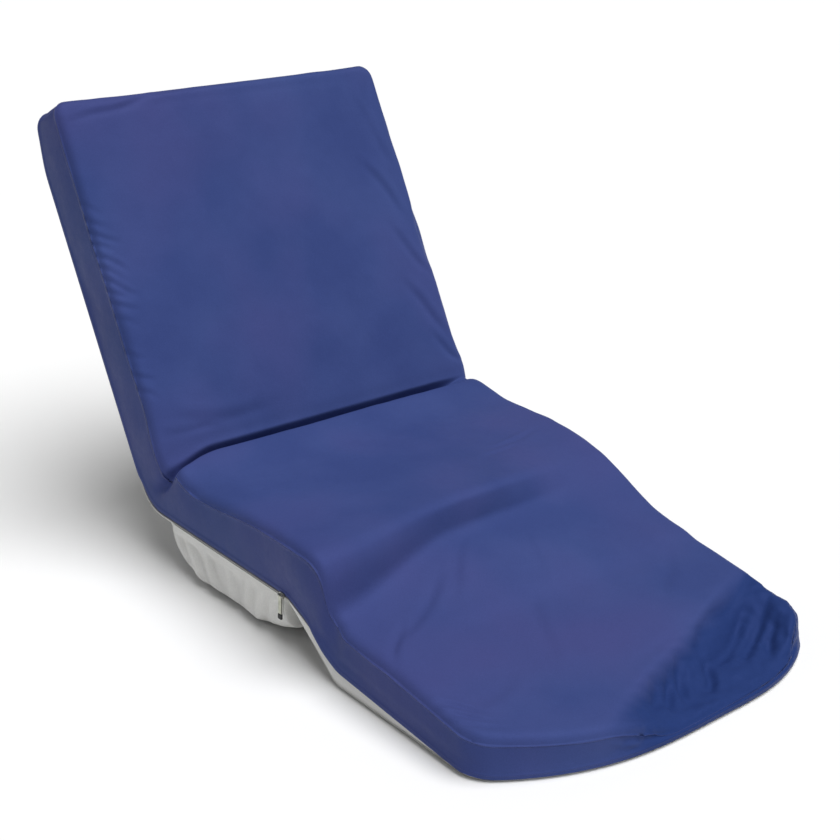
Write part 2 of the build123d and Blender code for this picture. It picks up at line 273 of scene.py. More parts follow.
class Pan:
    """A grid over the whole mattress that turns over a rounded edge and runs on along the sides.

    s, y, h are each point's place in the flat layout, and u, v its place on the cloth when that is
    spread out, so that a crease can run on over the edge."""

    def __init__(self, edge):
        arc = pi / 2 * edge
        extra = arc - edge
        s0, s1, y1 = HEAD_S - extra, FOOT_S + extra, HALF + extra
        rows = int(round((s1 - s0) / CELL))
        columns = 2 * int(round(y1 / CELL))
        a, b = np.meshgrid(np.linspace(s0, s1, rows + 1), np.linspace(-y1, y1, columns + 1), indexing="ij")
        head, foot, side = a - s0, s1 - a, y1 - np.abs(b)
        inward = np.minimum(np.minimum(head, foot), side)

        def depth(e):
            rounded = edge * (1 - np.sin(pi / 2 * (1 - np.clip(e / arc, 0, 1))))
            return np.where(e < arc, rounded, e - extra)

        s = np.where(head < foot, HEAD_S + depth(head), FOOT_S - depth(foot))
        y = np.sign(b) * (HALF - depth(side))
        for end, away, corner, sign in ((HEAD_S, head, HEAD_CORNER, 1), (FOOT_S, foot, FOOT_CORNER, -1)):
            size = corner + extra
            inside = (away < size) & (side < size)
            ox, oy = size - away, size - side
            far = np.maximum(np.maximum(ox, oy), 1e-9)
            length = np.maximum(np.hypot(ox, oy), 1e-9)
            radius = corner - depth(size - far)
            s = np.where(inside, end + sign * corner - sign * radius * ox / length, s)
            y = np.where(inside, np.sign(b) * (HALF - corner + radius * oy / length), y)
            inward = np.where(inside, size - far, inward)
        angle = pi / 2 * (1 - np.clip(inward / arc, 0, 1))
        self.s, self.y, self.drop = s.ravel(), y.ravel(), (edge * (1 - np.cos(angle))).ravel()
        self.u, self.v = a.ravel(), b.ravel()
        self.s = self.s + bow(self.s, self.y)
        self.quads = [
            (k, k + 1, k + columns + 2, k + columns + 1)
            for i in range(rows) for k in range(i * (columns + 1), i * (columns + 1) + columns)
        ]
        last = rows * (columns + 1)
        left = [(i * (columns + 1), (0, -1)) for i in range(rows + 1)]
        far_end = [(last + j, (1, 0)) for j in range(1, columns + 1)]
        right = [(i * (columns + 1) + columns, (0, 1)) for i in range(rows - 1, -1, -1)]
        near_end = [(j, (-1, 0)) for j in range(columns - 1, 0, -1)]
        ring = left + far_end + right + near_end
        self.ring = np.array([k for k, _ in ring])
        self.out = np.array([o for _, o in ring], float)
        self.rows = [self.ring]
        ds, dy = (np.roll(q[self.ring], -1) - np.roll(q[self.ring], 1) for q in (self.s, self.y))
        self.outward = np.stack([dy, -ds], axis=-1) / np.hypot(ds, dy)[:, None]

    def add_sides(self, heights, outs):
        """Adds a row of points round the rim for each array of heights, each standing out a little."""
        ring = self.ring
        s, y, h, u, v = (q[ring] for q in (self.s, self.y, self.h, self.u, self.v))
        n = len(ring)
        for row, out in zip(heights, outs):
            start = len(self.s)
            self.s = np.append(self.s, s + out * self.outward[:, 0])
            self.y = np.append(self.y, y + out * self.outward[:, 1])
            self.h = np.append(self.h, row)
            self.u = np.append(self.u, u + self.out[:, 0] * np.abs(h - row))
            self.v = np.append(self.v, v + self.out[:, 1] * np.abs(h - row))
            new, previous = np.arange(start, start + n), self.rows[-1]
            for k in range(n):
                m = (k + 1) % n
                self.quads.append((previous[k], new[k], new[m], previous[m]))
            self.rows.append(new)


def bow(s, y):
    """The foot end runs out in a curve, further at its loose corner."""
    out = (BOW + BOW_EXTRA) * (1 - np.abs(y / HALF) ** 2.5) + LOOSE_OUT * smooth((y - 0.05) / 0.39)
    return out * smooth((s - SHIN_S - 0.02) / (FOOT_S - SHIN_S - 0.02))


# ---- Meshes ----
def mesh_object(name, points, faces, *materials):
    mesh = bpy.data.meshes.new(name)
    mesh.from_pydata([tuple(map(float, p)) for p in points], [], [tuple(map(int, f)) for f in faces])
    mesh.update()
    obj = bpy.data.objects.new(name, mesh)
    bpy.context.scene.collection.objects.link(obj)
    mesh.polygons.foreach_set("use_smooth", [True] * len(mesh.polygons))
    for material in materials:
        mesh.materials.append(material)
    return obj


def remember(obj, name, values):
    """Keeps a value at each point, which subdivision carries along."""
    layer = obj.data.attributes.new(name, "FLOAT", "POINT")
    layer.data.foreach_set("value", np.asarray(values, np.float32))


def recall(obj, name):
    values = np.zeros(len(obj.data.vertices), np.float32)
    obj.data.attributes[name].data.foreach_get("value", values)
    return values.astype(float)


def coordinates(obj):
    co = np.zeros(len(obj.data.vertices) * 3, np.float32)
    obj.data.vertices.foreach_get("co", co)
    return co.reshape(-1, 3).astype(float)


def normals(obj):
    n = np.zeros(len(obj.data.vertices) * 3, np.float32)
    obj.data.vertex_normals.foreach_get("vector", n)
    return n.reshape(-1, 3).astype(float)


def move(obj, co):
    obj.data.vertices.foreach_set("co", np.asarray(co, np.float32).ravel())
    obj.data.update()


def apply_modifiers(obj):
    graph = bpy.context.evaluated_depsgraph_get()
    mesh = bpy.data.meshes.new_from_object(obj.evaluated_get(graph), depsgraph=graph)
    old = obj.data
    obj.modifiers.clear()
    obj.data = mesh
    bpy.data.meshes.remove(old)


def subdivide(obj):
    m = obj.modifiers.new("subdivide", "SUBSURF")
    m.levels = m.render_levels = 1
    apply_modifiers(obj)


def part_of(obj, name, low, high):
    """A new object with the faces of obj whose middles lie between two s, with its normals kept."""
    s, co, n = recall(obj, "s"), coordinates(obj), normals(obj)
    chosen = [p for p in obj.data.polygons if low <= s[list(p.vertices)].mean() < high]
    used = np.unique([v for p in chosen for v in p.vertices])
    place = {v: k for k, v in enumerate(used)}
    faces = [[place[v] for v in p.vertices] for p in chosen]
    piece = mesh_object(name, co[used], faces, *obj.data.materials)
    piece.data.polygons.foreach_set("material_index", [p.material_index for p in chosen])
    # carries the mask of the painted shade on the loose foot corner
    if "slack" in obj.data.attributes:
        remember(piece, "slack", recall(obj, "slack")[used])
    piece.data.normals_split_custom_set_from_vertices([tuple(v) for v in n[used]])
    return piece


def follow_folds(piece):
    """Bakes a cloth piece's placing into its points."""
    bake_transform(piece)


def divide(obj, name):
    """Cuts a whole cloth into three pieces, each of which spans one fold."""
    cuts = (("back", -BEYOND, CUT_SEAT), ("knee", CUT_SEAT, CUT_KNEE), ("leg", CUT_KNEE, BEYOND))
    pieces = [part_of(obj, f"{name}_{section}", low, high) for section, low, high in cuts]
    bpy.data.objects.remove(obj)
    for piece, (section, _, _) in zip(pieces, cuts):
        follow_folds(piece)
    return pieces


# ---- Creases ----
def ridge(u, v, start, end, height, width, valley=0.6):
    """A fold of cloth from start to end, with a valley beside it, tapered at both ends.

    valley is the depth of the valley as a share of the height."""
    (u0, v0), (u1, v1) = start, end
    du, dv = u1 - u0, v1 - v0
    length = (du * du + dv * dv) ** 0.5
    t = ((u - u0) * du + (v - v0) * dv) / length ** 2
    q = ((v - v0) * du - (u - u0) * dv) / length
    q = q + 0.06 * length * np.sin(5.1 * t + 40 * (u0 + v0)) * t
    across = np.exp(-(q / width) ** 2) - valley * np.exp(-((q - 1.7 * width) / width) ** 2)
    return height * smooth(t / 0.4) * smooth((1 - t) / 0.4) * across


def swell(points, size, seed):
    """Soft noise, about -1 to 1, with features of the given size."""
    shift = Vector((seed * 7.3, seed * 1.9, seed * 4.1))
    return np.array([noise.noise(Vector(p) / size + shift) for p in points]) * 1.6


def creases(u, v, folds):
    """Adds up ridges, each given as its start, end, height and width."""
    return sum(ridge(u, v, *fold) for fold in folds)


# Puckers along the left edge of the back: where along it, how high, and how long they run inwards.
PUCKERS = [
    (-0.690, 0.0012, 0.060), (-0.655, 0.0016, 0.055), (-0.628, 0.0022, 0.075), (-0.600, 0.0018, 0.055),
    (-0.572, 0.0026, 0.080), (-0.545, 0.0020, 0.060), (-0.520, 0.0026, 0.085), (-0.493, 0.0020, 0.055),
    (-0.468, 0.0022, 0.070), (-0.430, 0.0014, 0.060), (-0.350, 0.0013, 0.050), (-0.300, 0.0018, 0.060),
    (-0.262, 0.0016, 0.055),
]
# Creases of the blue cover, in u and v on the cloth spread out.
TOP_CREASES = [
    ((s0, -0.470), (s0 + 0.85 * long, -0.455 + long), high, 0.0062) for s0, high, long in PUCKERS
] + [
    # under the head edge
    ((-0.850, -0.450), (-0.905, -0.190), 0.0026, 0.0080),
    ((-0.870, -0.330), (-0.918, -0.050), 0.0024, 0.0080),
    ((-0.892, -0.390), (-0.915, -0.180), 0.0018, 0.0060),
    ((-0.895, -0.120), (-0.920, 0.080), 0.0014, 0.0080),
    ((-0.905, 0.420), (-0.700, 0.380), 0.0026, 0.0140),
    ((-0.780, 0.440), (-0.480, 0.405), 0.0032, 0.0150),
    ((-0.560, 0.440), (-0.300, 0.412), 0.0032, 0.0130),
    ((-0.640, 0.462), (-0.380, 0.430), 0.0026, 0.0080),
    # drawn in above the back crease
    ((-0.178, -0.460), (-0.118, -0.080), 0.0020, 0.0170),
    ((-0.150, -0.450), (-0.108, -0.260), 0.0016, 0.0110),
    # the seat
    ((0.447, 0.170), (0.425, 0.380), 0.0026, 0.0080),
    ((0.470, 0.120), (0.452, 0.300), 0.0016, 0.0080),
    ((0.150, -0.470), (0.250, -0.400), 0.0022, 0.0140),
    # fanning out over the calf
    ((0.712, -0.140), (0.872, -0.415), 0.0036, 0.0120),
    ((0.668, -0.020), (0.805, -0.235), 0.0028, 0.0120),
    ((0.765, -0.305), (0.900, -0.450), 0.0036, 0.0090),
    ((0.795, 0.010), (0.975, -0.190), 0.0026, 0.0140),
    ((0.700, 0.110), (0.880, -0.040), 0.0022, 0.0120),
    ((0.860, 0.350), (0.960, 0.180), 0.0020, 0.0120),
    ((0.940, -0.220), (1.060, -0.400), 0.0018, 0.0110),
    # the left foot corner
    ((1.000, -0.450), (1.060, -0.360), 0.0032, 0.0075),
    ((1.035, -0.450), (1.085, -0.360), 0.0036, 0.0070),
    ((1.070, -0.450), (1.105, -0.365), 0.0034, 0.0070),
    # the right edge of the back
    ((-0.860, 0.340), (-0.620, 0.425), 0.0034, 0.0120),
    ((-0.690, 0.300), (-0.470, 0.430), 0.0040, 0.0120),
    ((-0.520, 0.330), (-0.330, 0.440), 0.0036, 0.0110),
    ((-0.370, 0.320), (-0.180, 0.440), 0.0040, 0.0120),
    ((-0.230, 0.360), (-0.100, 0.440), 0.0030, 0.0100),
]
# Those of the loose foot corner, in s and v, with shallower valleys.
CORNER_CREASES = [
    ((1.035, 0.300), (1.165, -0.040), 0.0040, 0.0130, 0.2),
    ((1.060, 0.340), (1.155, 0.110), 0.0080, 0.0110, 0.3),
    ((1.075, 0.400), (1.195, 0.140), 0.0120, 0.0120, 0.3),
    ((1.100, 0.425), (1.230, 0.200), 0.0120, 0.0120, 0.3),
    ((1.140, 0.180), (1.245, 0.095), 0.0110, 0.0100, 0.3),
    ((1.130, 0.110), (1.240, 0.020), 0.0110, 0.0100, 0.3),
    ((1.150, 0.060), (1.250, -0.030), 0.0100, 0.0090, 0.3),
    ((1.165, 0.010), (1.238, -0.068), 0.0070, 0.0100, 0.3),
    ((1.140, 0.400), (1.225, 0.290), 0.0080, 0.0100, 0.3),
]
# Creases of the grey base, on the back, in u and v.
BASE_CREASES = [
    ((-0.820, -0.300), (-0.560, -0.060), 0.0030, 0.0200),
    ((-0.700, 0.380), (-0.430, 0.120), 0.0028, 0.0180),
    ((-0.520, -0.430), (-0.330, -0.260), 0.0034, 0.0130),
    ((-0.300, 0.440), (-0.190, 0.180), 0.0034, 0.0130),
    ((-0.180, -0.420), (-0.110, 0.020), 0.0040, 0.0110),
    ((-0.130, 0.430), (-0.080, -0.060), 0.0040, 0.0110),
    ((-0.090, -0.380), (-0.040, 0.180), 0.0036, 0.0090),
    ((-0.890, 0.250), (-0.780, 0.430), 0.0030, 0.0120),
    ((-0.880, -0.440), (-0.800, -0.300), 0.0030, 0.0120),
]


# ---- Materials ----
class Nodes:
    """Short calls for building a material's nodes."""

    def __init__(self, name):
        self.material = bpy.data.materials.new(name)
        self.material.use_nodes = True
        self.tree = self.material.node_tree
        self.shader = self.tree.nodes["Principled BSDF"]
        self.place = self.tree.nodes.new("ShaderNodeTexCoord").outputs["Object"]

    def add(self, kind, inputs=(), **settings):
        node = self.tree.nodes.new(kind)
        for key, value in settings.items():
            setattr(node, key, value)
        for key, value in dict(inputs).items():
            if isinstance(value, bpy.types.NodeSocket):
                self.tree.links.new(value, node.inputs[key])
            else:
                node.inputs[key].default_value = value
        return node

    def stretched(self, scale):
        return self.add("ShaderNodeMapping", {"Vector": self.place, "Scale": scale}).outputs["Vector"]

    def noise(self, scale, detail=3.0, roughness=0.5, place=None):
        settings = {"Vector": place or self.place, "Scale": scale, "Detail": detail, "Roughness": roughness}
        return self.add("ShaderNodeTexNoise", settings).outputs["Fac"]

    def cells(self, scale):
        return self.add("ShaderNodeTexVoronoi", {"Vector": self.place, "Scale": scale}).outputs["Distance"]

    def map(self, value, low, high, to_low, to_high):
        settings = {"Value": value, 1: low, 2: high, 3: to_low, 4: to_high}
        return self.add("ShaderNodeMapRange", settings).outputs[0]

    def mix(self, factor, a, b):
        node = self.add("ShaderNodeMix", data_type="RGBA")
        self.tree.links.new(factor, node.inputs["Factor"])
        for key, value in (("A", a), ("B", b)):
            socket = [i for i in node.inputs if i.name == key and i.type == "RGBA"][0]
            if isinstance(value, bpy.types.NodeSocket):
                self.tree.links.new(value, socket)
            else:
                socket.default_value = (*value, 1)
        return [o for o in node.outputs if o.type == "RGBA"][0]

    def scaled(self, colour, factor):
        node = self.add("ShaderNodeVectorMath", {0: colour, "Scale": factor}, operation="SCALE")
        return node.outputs[0]

    def bump(self, height, distance, strength, normal=None):
        inputs = {"Height": height, "Distance": distance, "Strength": strength}
        if normal is not None:
            inputs["Normal"] = normal
        return self.add("ShaderNodeBump", inputs).outputs["Normal"]

    def set(self, **values):
        sockets = {i.name.lower(): i for i in self.shader.inputs}
        for key, value in values.items():
            socket = sockets[key.replace("_", " ")]
            if isinstance(value, bpy.types.NodeSocket):
                self.tree.links.new(value, socket)
            else:
                socket.default_value = value
        return self.material


def coated_cloth(name, dark, light, cast, roughness, crinkle, gloss, painted_shade=None):
    """Stretch cloth with a soft coating: a fine knit under a satin skin, with small crinkles.

    cast is a third colour, in wide faint clouds, and gloss the colour of the skin's reflection. The last
    colour is painted shade: a darker tone laid over the loose foot corner, the cloth with no foam behind
    it, to stand in for the shade there."""
    n = Nodes(name)
    tone = n.mix(n.map(n.noise(5.0, 4.0), 0.35, 0.65, 0.0, 1.0), dark, light)
    tone = n.mix(n.map(n.noise(2.6, 2.0), 0.45, 0.75, 0.0, 0.8), tone, cast)
    # painted shade: the loose foot corner is darkened through its mask
    if painted_shade:
        tone = n.mix(n.add("ShaderNodeAttribute", attribute_name="slack").outputs["Fac"], tone, painted_shade)
    fine = n.map(n.noise(420.0, 2.0), 0.3, 0.7, 0.94, 1.05)
    weave = n.bump(n.cells(950.0), 0.0004, 0.25)
    soft = n.bump(n.noise(38.0, 5.0, 0.6), 0.0035, crinkle, weave)
    wide = n.bump(n.noise(11.0, 3.0), 0.010, crinkle * 0.7, soft)
    rough = n.map(n.noise(70.0, 3.0), 0.3, 0.7, roughness - 0.05, roughness + 0.06)
    return n.set(base_color=n.scaled(tone, fine), roughness=rough, normal=wide, specular_tint=(*gloss, 1),
                 sheen_weight=0.02, sheen_tint=(*gloss, 1), sheen_roughness=0.4, specular_ior_level=0.10)


def woven_tape(name, dark, light):
    n = Nodes(name)
    ribs = n.add("ShaderNodeTexWave", {"Vector": n.place, "Scale": 160.0, "Distortion": 0.4})
    tone = n.mix(n.map(n.noise(300.0, 2.0), 0.3, 0.7, 0.0, 1.0), dark, light)
    return n.set(base_color=tone, roughness=0.75, normal=n.bump(ribs.outputs["Fac"], 0.0006, 0.5),
                 sheen_weight=0.1)


def moulded_plastic(name, dark, light, roughness):
    n = Nodes(name)
    tone = n.mix(n.map(n.noise(24.0, 4.0), 0.35, 0.65, 0.0, 1.0), dark, light)
    rough = n.map(n.noise(160.0, 4.0), 0.3, 0.7, roughness - 0.07, roughness + 0.07)
    return n.set(base_color=tone, roughness=rough, normal=n.bump(n.noise(700.0, 2.0), 0.0003, 0.3))


def cast_metal(name, dark, light):
    """Nickel-plated zinc, a little worn on its faces."""
    n = Nodes(name)
    worn = n.map(n.noise(90.0, 5.0, 0.65), 0.42, 0.62, 0.0, 1.0)
    tone = n.mix(worn, dark, light)
    scratches = n.noise(60.0, 3.0, 0.6, n.stretched((40.0, 2.0, 2.0)))
    rough = n.map(scratches, 0.3, 0.7, 0.24, 0.42)
    return n.set(base_color=tone, metallic=1.0, roughness=rough, normal=n.bump(scratches, 0.0002, 0.25))


def stage_paint(name, colour):
    n = Nodes(name)
    return n.set(base_color=(*colour, 1), roughness=0.9, specular_ior_level=0.0)


BLUE_GLOSS = (0.22, 0.32, 1.0)
# the last blue is painted shade, laid over the loose foot corner
BLUE = coated_cloth("blue_coated_cloth", (0.039, 0.060, 0.193), (0.048, 0.072, 0.217),
                    (0.055, 0.062, 0.200), 0.45, 0.20, BLUE_GLOSS, (0.019, 0.040, 0.150))
GREY = coated_cloth("grey_coated_cloth", (0.70, 0.70, 0.68), (0.80, 0.80, 0.78),
                    (0.70, 0.695, 0.66), 0.60, 0.24, (1.0, 1.0, 1.0))
THREAD = woven_tape("blue_thread", (0.030, 0.044, 0.170), (0.050, 0.066, 0.230))
TAPE = woven_tape("grey_zip_tape", (0.20, 0.20, 0.20), (0.28, 0.28, 0.28))
TEETH = moulded_plastic("zip_teeth_plastic", (0.16, 0.16, 0.165), (0.22, 0.22, 0.225), 0.35)
SLIDER = cast_metal("slider_metal", (0.42, 0.41, 0.38), (0.62, 0.61, 0.58))
TAB = cast_metal("tab_metal", (0.36, 0.37, 0.30), (0.52, 0.53, 0.44))
GRIP = moulded_plastic("grip_rubber", (0.012, 0.012, 0.013), (0.022, 0.022, 0.024), 0.55)


# ---- Blue cover ----
TOP_EDGE = 0.019
SKIRT_ROWS = 7
LIFT = 0.002                       # half the gap between blue and grey cloth at the zip
HEM_WIDTH = 0.012
HEM_OUT = 0.0012
FLAP_OUT = 0.0035                  # how far the skirt stands off where it hangs past the zip
SIDE_BULGE = 0.004                 # how far the sides bulge between the zip and the top


def flap(s):
    """How far the skirt hangs down past the zip's upper tape, in front of the teeth."""
    hang = 0.006 * smooth((-s - 0.03) / 0.06) + 0.016 * smooth((s - SEAT - 0.06) / 0.10)
    return np.minimum(hang, zip_line(s) + LIFT - 0.006)


def loose_cloth(s, v):
    """1 on the loose cloth of the foot corner, 0 elsewhere."""
    return smooth((loose_corner(s, v) - 0.01) / 0.04) * smooth((v + 0.26) / 0.12)


def looseness(s, v, h):
    """How much spare cloth there is: most at the loose foot corner, some at the folds and left edges."""
    left = smooth((-v - HALF + 0.10) / 0.08)
    spare = [
        loose_cloth(s, v),
        # the back above its crease, its left edge, and the head end
        0.45 * bell(s + 0.10, 0.10) * smooth((0.1 - v) / 0.3),
        0.50 * left * bell(s + 0.53, 0.20),
        0.35 * smooth((HEAD_S + 0.09 - s) / 0.08),
        # the left half past the knee, and the left foot corner
        0.35 * smooth((-v - 0.05) / 0.25) * bell(s - 0.76, 0.14),
        0.60 * left * bell(s - 1.06, 0.08),
        # the sides
        0.30 * smooth((np.abs(v) - HALF - 0.01) / 0.02),
    ]
    return np.max(spare, axis=0) * smooth((h - 0.006) / 0.012)


SPARE_CLOTH = 0.055                # how much longer the loosest cloth is than what it covers
SETTLE_FRAMES = 16
SETTLE_REACH = 0.012               # no point moves further than this


def settle(obj):
    """Lets the cloth take up its spare length: held at the zip, backed by foam except where it is loose."""
    s, v, h = recall(obj, "s"), recall(obj, "v"), recall(obj, "h")
    loose = looseness(s, v, h)
    held = obj.vertex_groups.new(name="held")
    spare = obj.vertex_groups.new(name="spare")
    backed = np.where(h < 0.008, 1.0, 0.55 * (1 - loose) ** 2)
    for k in range(len(s)):
        held.add([k], float(backed[k]), "REPLACE")
        spare.add([k], float(loose[k]), "REPLACE")
    start = coordinates(obj)
    m = obj.modifiers.new("settle", "CLOTH")
    cloth = m.settings
    cloth.quality = 5
    cloth.mass = 0.2
    cloth.tension_stiffness = cloth.compression_stiffness = 25
    cloth.shear_stiffness = 10
    cloth.bending_stiffness = 0.4
    cloth.vertex_group_mass = "held"
    cloth.pin_stiffness = 0.6
    cloth.vertex_group_shrink = "spare"
    cloth.shrink_min, cloth.shrink_max = 0.0, -SPARE_CLOTH
    cloth.effector_weights.gravity = 0.3
    m.point_cache.frame_start, m.point_cache.frame_end = 1, SETTLE_FRAMES
    for frame_number in range(1, SETTLE_FRAMES + 1):
        bpy.context.scene.frame_set(frame_number)
    apply_modifiers(obj)
    bpy.context.scene.frame_set(1)
    moved = coordinates(obj) - start
    length = np.linalg.norm(moved, axis=1)[:, None]
    move(obj, start + moved * np.tanh(length / SETTLE_REACH) * SETTLE_REACH / np.maximum(length, 1e-9))


def make_cover():
    pan = Pan(TOP_EDGE)
    pan.h = lean_and_height(pan.s, pan.y)[1] - pan.drop
    rim, s = pan.h[pan.ring], pan.s[pan.ring]
    low = zip_line(s) + LIFT - flap(s)
    stands_out = FLAP_OUT * smooth(flap(s) / 0.006)
    fractions = np.linspace(0, 1, SKIRT_ROWS + 1)[1:]
    hem_top = low + HEM_WIDTH
    rows = [rim + (hem_top - rim) * f for f in fractions]
    outs = [stands_out * f ** 3 for f in fractions]
    rows += [hem_top - 0.001, hem_top - 0.003, low + 0.003, low, low + 0.001]
    outs += [stands_out + out for out in (HEM_OUT, HEM_OUT, HEM_OUT, HEM_OUT * 0.6, -0.0012)]
    pan.add_sides(rows, outs)
    t = lean_and_height(pan.s, pan.y)[1]
    zipped = zip_line(pan.s)
    lift = np.clip((pan.h - zipped) / np.maximum(t - zipped, 0.01), 0, 1)
    side = smooth((np.abs(pan.y) - HALF + 0.09) / 0.09)
    y = pan.y + np.sign(pan.y) * side * (pinch(pan.s, pan.y, pan.h) + SIDE_BULGE * np.sin(pi * lift))
    obj = mesh_object("cover", bend(pan.s, y, pan.h), pan.quads, BLUE)
    # mask of the painted shade that darkens the loose foot corner's cloth
    slack = smooth(loose_corner(pan.s, pan.y) / 0.022) * smooth((pan.y + 0.24) / 0.16)
    for name, values in (("s", pan.s), ("u", pan.u), ("v", pan.v), ("h", pan.h - zipped)):
        remember(obj, name, values)
    remember(obj, "slack", slack)
    settle(obj)
    subdivide(obj)
    u, v = recall(obj, "u"), recall(obj, "v")
    co = coordinates(obj)
    s = recall(obj, "s")
    h = recall(obj, "h")
    crinkles = 0.0034 * swell(co * (1, 0.45, 1), 0.030, 5) + 0.0018 * swell(co, 0.016, 6)
    corner = creases(s, v, CORNER_CREASES) + loose_cloth(s, v) * crinkles
    tip = smooth((v - 0.36) / 0.06) * smooth((s - 1.12) / 0.06)
    out = creases(u, v, TOP_CREASES) + 0.0016 * swell(co, 0.16, 1) + 0.0005 * swell(co, 0.045, 2)
    out = out * smooth((h - 0.003) / 0.012) + corner * smooth((h - 0.010) / 0.014) * (1 - 0.8 * tip)
    move(obj, co + normals(obj) * out[:, None])
    return obj, pan


def replace_nodes(pieces, *layers):
    """The back piece stands for the back's nodes, the knee piece for the seat's and knee's, and so on."""
    for piece, sections in zip(pieces, (("back",), ("seat", "knee"), ("leg",))):
        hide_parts(*[f"{layer}_{section}" for section in sections for layer in layers])


def stitch_line(obj, rows, name, pitch=0.0042, length=0.0028, radius=0.0005):
    """Small stitches along rows of obj's points, as one whole mesh with each stitch's s."""
    co, n, s = coordinates(obj), normals(obj), recall(obj, "s")
    shape = [(-0.5, 0.35), (-0.25, 1.0), (0.25, 1.0), (0.5, 0.35)]   # place along it, and how wide
    sides = 6
    points, faces, at_s = [], [], []
    for row in rows:
        loop = np.append(row, row[0])
        p, normal, place = co[loop], n[loop], s[loop]
        along = np.concatenate([[0], np.cumsum(np.linalg.norm(np.diff(p, axis=0), axis=1))])
        at = np.arange(0, along[-1] - pitch, pitch)
        centre = np.stack([np.interp(at, along, p[:, k]) for k in range(3)], axis=-1)
        ahead = np.stack([np.interp(at + pitch, along, p[:, k]) for k in range(3)], axis=-1)
        up = np.stack([np.interp(at, along, normal[:, k]) for k in range(3)], axis=-1)
        way = ahead - centre
        way /= np.maximum(np.linalg.norm(way, axis=1), 1e-9)[:, None]
        across = np.cross(way, up)
        for k in range(len(at)):
            first = len(points)
            for t, wide in shape:
                for a in range(sides):
                    angle = a * pi / (sides / 2)
                    c, d = cos(angle) * radius * wide, sin(angle) * radius * wide
                    points.append(centre[k] + way[k] * t * length + across[k] * c + up[k] * d)
            for i in range(len(shape) - 1):
                for a in range(sides):
                    q, r = first + sides * i + a, first + sides * i + (a + 1) % sides
                    faces.append((q, r, r + sides, q + sides))
            faces.append(tuple(first + sides - 1 - a for a in range(sides)))
            faces.append(tuple(len(points) - sides + a for a in range(sides)))
            at_s += [np.interp(at[k], along, place)] * (sides * len(shape))
    stitches = mesh_object(name, points, faces, THREAD)
    remember(stitches, "s", at_s)
    return stitches


cover, cover_pan = make_cover()
stitches = stitch_line(cover, (cover_pan.rows[0], cover_pan.rows[SKIRT_ROWS + 2]), "stitches")
for piece in divide(stitches, "stitching"):
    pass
cover_pieces = divide(cover, "blue_cover")
replace_nodes(cover_pieces, "top_cover", "fire_sleeve", "comfort_foam", "side_bolsters", "skirt_hem")


# ---- Grey base ----
BASE_EDGE = 0.010


def make_base():
    pan = Pan(BASE_EDGE)
    pan.h = pan.drop
    high = zip_line(pan.s[pan.ring]) - LIFT
    pan.add_sides([pan.h[pan.ring] * (1 - f) + high * f for f in (0.4, 0.8, 1.0)], (0.0005, 0.001, 0))
    pan.quads = [q[::-1] for q in pan.quads]
    obj = mesh_object("base", bend(pan.s, pan.y, pan.h), pan.quads, GREY)
    for name, values in (("s", pan.s), ("u", pan.u), ("v", pan.v), ("h", pan.h)):
        remember(obj, name, values)
    subdivide(obj)
    u, v, s = recall(obj, "u"), recall(obj, "v"), recall(obj, "s")
    co = coordinates(obj)
    out = creases(u, v, BASE_CREASES) + 0.0012 * swell(co, 0.12, 3) + 0.0004 * swell(co, 0.04, 4)
    out = out * smooth((0.02 - s) / 0.05) * smooth((0.012 - recall(obj, "h")) / 0.006)
    move(obj, co + normals(obj) * out[:, None])
    return obj


base_pieces = divide(make_base(), "grey_base")
replace_nodes(base_pieces, "base_cover", "base_foam")


# ---- Grey belly under the seat ----
BELLY_LOW, BELLY_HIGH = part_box("belly_cover")
BELLY_START, BELLY_END = BELLY_LOW.x - BACK_X, BELLY_HIGH.x - BACK_X
BELLY_HEEL = 0.120                 # length of its round back end
BELLY_FLAT = (BELLY_START + BELLY_HEEL, BELLY_START + 0.275)   # the s between which it lies flat
BELLY_FRONT = 0.084                # depth of its front end
BELLY_ROUND = 0.058                # radius of its lower side edges
BELLY_SEAM = 0.009                 # it is sewn on this far above the base's underside
BELLY_OUT = 0.0008                 # its sides stand this far outside the base's
FLOOR_GAP = 0.0006                 # and it stays this far above the floor
BELLY_TUCK = 0.014                 # how far its sides draw in at its ends, under the base's edge
BELLY_CREASES = [
    # s, and the way across and down the cloth from the left seam
    ((0.105, 0.000), (0.160, 0.100), 0.0070, 0.0120),
    ((0.150, 0.000), (0.235, 0.120), 0.0090, 0.0140),
    ((0.225, 0.000), (0.290, 0.110), 0.0070, 0.0120),
    ((0.320, 0.000), (0.345, 0.130), 0.0080, 0.0130),
    ((0.410, 0.000), (0.385, 0.110), 0.0070, 0.0110),
    ((0.465, 0.000), (0.415, 0.150), 0.0080, 0.0120),
    ((0.505, 0.000), (0.470, 0.090), 0.0060, 0.0090),
]


